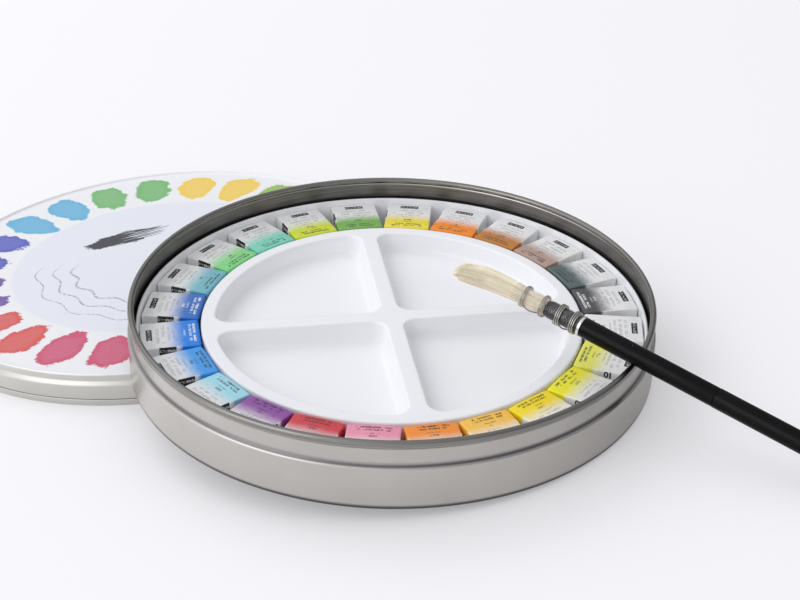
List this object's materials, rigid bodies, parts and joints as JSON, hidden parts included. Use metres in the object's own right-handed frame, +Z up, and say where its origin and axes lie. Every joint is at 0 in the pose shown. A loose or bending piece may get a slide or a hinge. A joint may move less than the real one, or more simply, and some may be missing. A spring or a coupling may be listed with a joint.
{
  "type": "watercolour paint set",
  "caption": "Round tin of paper-wrapped watercolour half pans round a mixing palette, propped on its lid, with a quill mop brush leaning on the rim.",
  "frame": {"origin": "centre of the footprint of the whole laid-out set, on the table", "axes": "+Z up, +X to the right of someone facing the set, +Y away from them"},
  "size_m": [0.3164, 0.2652, 0.0421],
  "materials": {
    "tinplate": "bare satin tinplate",
    "white_plastic": "glossy moulded white",
    "white_enamel": "white lacquered tin",
    "wrap_01": "glossy printed paper, lemon yellow",
    "paint_01": "dry paint cake in a cup, lemon yellow",
    "wrap_02": "glossy printed paper, mid yellow",
    "paint_02": "dry paint cake in a cup, mid yellow",
    "wrap_03": "glossy printed paper, deep yellow",
    "paint_03": "dry paint cake in a cup, deep yellow",
    "wrap_04": "glossy printed paper, light orange",
    "paint_04": "dry paint cake in a cup, light orange",
    "wrap_05": "glossy printed paper, orange",
    "paint_05": "dry paint cake in a cup, orange",
    "wrap_06": "glossy printed paper, pink",
    "paint_06": "dry paint cake in a cup, pink",
    "wrap_07": "glossy printed paper, red",
    "paint_07": "dry paint cake in a cup, red",
    "wrap_08": "glossy printed paper, purple",
    "paint_08": "dry paint cake in a cup, purple",
    "wrap_09": "glossy printed paper, pale cyan",
    "paint_09": "dry paint cake in a cup, pale cyan",
    "wrap_10": "glossy printed paper, azure",
    "paint_10": "dry paint cake in a cup, azure",
    "wrap_11": "glossy printed paper, bright blue",
    "paint_11": "dry paint cake in a cup, bright blue",
    "wrap_12": "glossy printed paper, cobalt",
    "paint_12": "dry paint cake in a cup, cobalt",
    "wrap_13": "glossy printed paper, teal",
    "paint_13": "dry paint cake in a cup, teal",
    "wrap_14": "glossy printed paper, light green",
    "paint_14": "dry paint cake in a cup, light green",
    "wrap_15": "glossy printed paper, turquoise green",
    "paint_15": "dry paint cake in a cup, turquoise green",
    "wrap_16": "glossy printed paper, lime",
    "paint_16": "dry paint cake in a cup, lime",
    "wrap_17": "glossy printed paper, green",
    "paint_17": "dry paint cake in a cup, green",
    "wrap_18": "glossy printed paper, yellow ochre",
    "paint_18": "dry paint cake in a cup, yellow ochre",
    "wrap_19": "glossy printed paper, golden orange",
    "paint_19": "dry paint cake in a cup, golden orange",
    "wrap_20": "glossy printed paper, ochre brown",
    "paint_20": "dry paint cake in a cup, ochre brown",
    "wrap_21": "glossy printed paper, rosy brown",
    "paint_21": "dry paint cake in a cup, rosy brown",
    "wrap_22": "glossy printed paper, grey green",
    "paint_22": "dry paint cake in a cup, grey green",
    "wrap_23": "glossy printed paper, charcoal",
    "paint_23": "dry paint cake in a cup, charcoal",
    "wrap_24": "glossy printed paper, white",
    "paint_24": "dry paint cake in a cup, white",
    "hair": "cream hair",
    "clear_quill": "clear quill tube",
    "binding_wire": "bright wire",
    "silver_ring": "polished ring",
    "black_lacquer": "black lacquer"
  },
  "bodies": {
    "lid": {"tin_lid": "white_enamel"},
    "base": {"tin_base": "tinplate"},
    "tray": {"tray": "white_plastic"},
    "brush": {"bristle_tuft": "hair", "quill_ferrule": "clear_quill", "binding_wire_front": "binding_wire", "binding_wire_rear": "binding_wire", "silver_ring": "silver_ring", "handle_front": "black_lacquer", "handle_rear": "black_lacquer"},
    "pan_01": {"wrapper_01": "wrap_01", "half_pan_01": "paint_01"},
    "pan_02": {"wrapper_02": "wrap_02", "half_pan_02": "paint_02"},
    "pan_03": {"wrapper_03": "wrap_03", "half_pan_03": "paint_03"},
    "pan_04": {"wrapper_04": "wrap_04", "half_pan_04": "paint_04"},
    "pan_05": {"wrapper_05": "wrap_05", "half_pan_05": "paint_05"},
    "pan_06": {"wrapper_06": "wrap_06", "half_pan_06": "paint_06"},
    "pan_07": {"wrapper_07": "wrap_07", "half_pan_07": "paint_07"},
    "pan_08": {"wrapper_08": "wrap_08", "half_pan_08": "paint_08"},
    "pan_09": {"wrapper_09": "wrap_09", "half_pan_09": "paint_09"},
    "pan_10": {"wrapper_10": "wrap_10", "half_pan_10": "paint_10"},
    "pan_11": {"wrapper_11": "wrap_11", "half_pan_11": "paint_11"},
    "pan_12": {"wrapper_12": "wrap_12", "half_pan_12": "paint_12"},
    "pan_13": {"wrapper_13": "wrap_13", "half_pan_13": "paint_13"},
    "pan_14": {"wrapper_14": "wrap_14", "half_pan_14": "paint_14"},
    "pan_15": {"wrapper_15": "wrap_15", "half_pan_15": "paint_15"},
    "pan_16": {"wrapper_16": "wrap_16", "half_pan_16": "paint_16"},
    "pan_17": {"wrapper_17": "wrap_17", "half_pan_17": "paint_17"},
    "pan_18": {"wrapper_18": "wrap_18", "half_pan_18": "paint_18"},
    "pan_19": {"wrapper_19": "wrap_19", "half_pan_19": "paint_19"},
    "pan_20": {"wrapper_20": "wrap_20", "half_pan_20": "paint_20"},
    "pan_21": {"wrapper_21": "wrap_21", "half_pan_21": "paint_21"},
    "pan_22": {"wrapper_22": "wrap_22", "half_pan_22": "paint_22"},
    "pan_23": {"wrapper_23": "wrap_23", "half_pan_23": "paint_23"},
    "pan_24": {"wrapper_24": "wrap_24", "half_pan_24": "paint_24"}
  },
  "joints": [
    {"name": "base_lift", "type": "slide", "parent": "lid", "child": "base", "axis": [0, 0, 1], "range_m": [0, 0.06]},
    {"name": "tray_lift", "type": "slide", "parent": "base", "child": "tray", "axis": [0.0778, -0.0465, 0.9959], "range_m": [0, 0.04]},
    {"name": "brush_lift", "type": "slide", "parent": "tray", "child": "brush", "axis": [0, 0, 1], "range_m": [0, 0.06]},
    {"name": "pan_01_lift", "type": "slide", "parent": "tray", "child": "pan_01", "axis": [0.0778, -0.0465, 0.9959], "range_m": [0, 0.008]},
    {"name": "pan_02_lift", "type": "slide", "parent": "tray", "child": "pan_02", "axis": [0.0778, -0.0465, 0.9959], "range_m": [0, 0.008]},
    {"name": "pan_03_lift", "type": "slide", "parent": "tray", "child": "pan_03", "axis": [0.0778, -0.0465, 0.9959], "range_m": [0, 0.025]},
    {"name": "pan_04_lift", "type": "slide", "parent": "tray", "child": "pan_04", "axis": [0.0778, -0.0465, 0.9959], "range_m": [0, 0.025]},
    {"name": "pan_05_lift", "type": "slide", "parent": "tray", "child": "pan_05", "axis": [0.0778, -0.0465, 0.9959], "range_m": [0, 0.025]},
    {"name": "pan_06_lift", "type": "slide", "parent": "tray", "child": "pan_06", "axis": [0.0778, -0.0465, 0.9959], "range_m": [0, 0.025]},
    {"name": "pan_07_lift", "type": "slide", "parent": "tray", "child": "pan_07", "axis": [0.0778, -0.0465, 0.9959], "range_m": [0, 0.025]},
    {"name": "pan_08_lift", "type": "slide", "parent": "tray", "child": "pan_08", "axis": [0.0778, -0.0465, 0.9959], "range_m": [0, 0.025]},
    {"name": "pan_09_lift", "type": "slide", "parent": "tray", "child": "pan_09", "axis": [0.0778, -0.0465, 0.9959], "range_m": [0, 0.025]},
    {"name": "pan_10_lift", "type": "slide", "parent": "tray", "child": "pan_10", "axis": [0.0778, -0.0465, 0.9959], "range_m": [0, 0.025]},
    {"name": "pan_11_lift", "type": "slide", "parent": "tray", "child": "pan_11", "axis": [0.0778, -0.0465, 0.9959], "range_m": [0, 0.025]},
    {"name": "pan_12_lift", "type": "slide", "parent": "tray", "child": "pan_12", "axis": [0.0778, -0.0465, 0.9959], "range_m": [0, 0.025]},
    {"name": "pan_13_lift", "type": "slide", "parent": "tray", "child": "pan_13", "axis": [0.0778, -0.0465, 0.9959], "range_m": [0, 0.025]},
    {"name": "pan_14_lift", "type": "slide", "parent": "tray", "child": "pan_14", "axis": [0.0778, -0.0465, 0.9959], "range_m": [0, 0.025]},
    {"name": "pan_15_lift", "type": "slide", "parent": "tray", "child": "pan_15", "axis": [0.0778, -0.0465, 0.9959], "range_m": [0, 0.025]},
    {"name": "pan_16_lift", "type": "slide", "parent": "tray", "child": "pan_16", "axis": [0.0778, -0.0465, 0.9959], "range_m": [0, 0.025]},
    {"name": "pan_17_lift", "type": "slide", "parent": "tray", "child": "pan_17", "axis": [0.0778, -0.0465, 0.9959], "range_m": [0, 0.025]},
    {"name": "pan_18_lift", "type": "slide", "parent": "tray", "child": "pan_18", "axis": [0.0778, -0.0465, 0.9959], "range_m": [0, 0.025]},
    {"name": "pan_19_lift", "type": "slide", "parent": "tray", "child": "pan_19", "axis": [0.0778, -0.0465, 0.9959], "range_m": [0, 0.025]},
    {"name": "pan_20_lift", "type": "slide", "parent": "tray", "child": "pan_20", "axis": [0.0778, -0.0465, 0.9959], "range_m": [0, 0.025]},
    {"name": "pan_21_lift", "type": "slide", "parent": "tray", "child": "pan_21", "axis": [0.0778, -0.0465, 0.9959], "range_m": [0, 0.025]},
    {"name": "pan_22_lift", "type": "slide", "parent": "tray", "child": "pan_22", "axis": [0.0778, -0.0465, 0.9959], "range_m": [0, 0.025]},
    {"name": "pan_23_lift", "type": "slide", "parent": "tray", "child": "pan_23", "axis": [0.0778, -0.0465, 0.9959], "range_m": [0, 0.025]},
    {"name": "pan_24_lift", "type": "slide", "parent": "tray", "child": "pan_24", "axis": [0.0778, -0.0465, 0.9959], "range_m": [0, 0.025]}
  ]
}
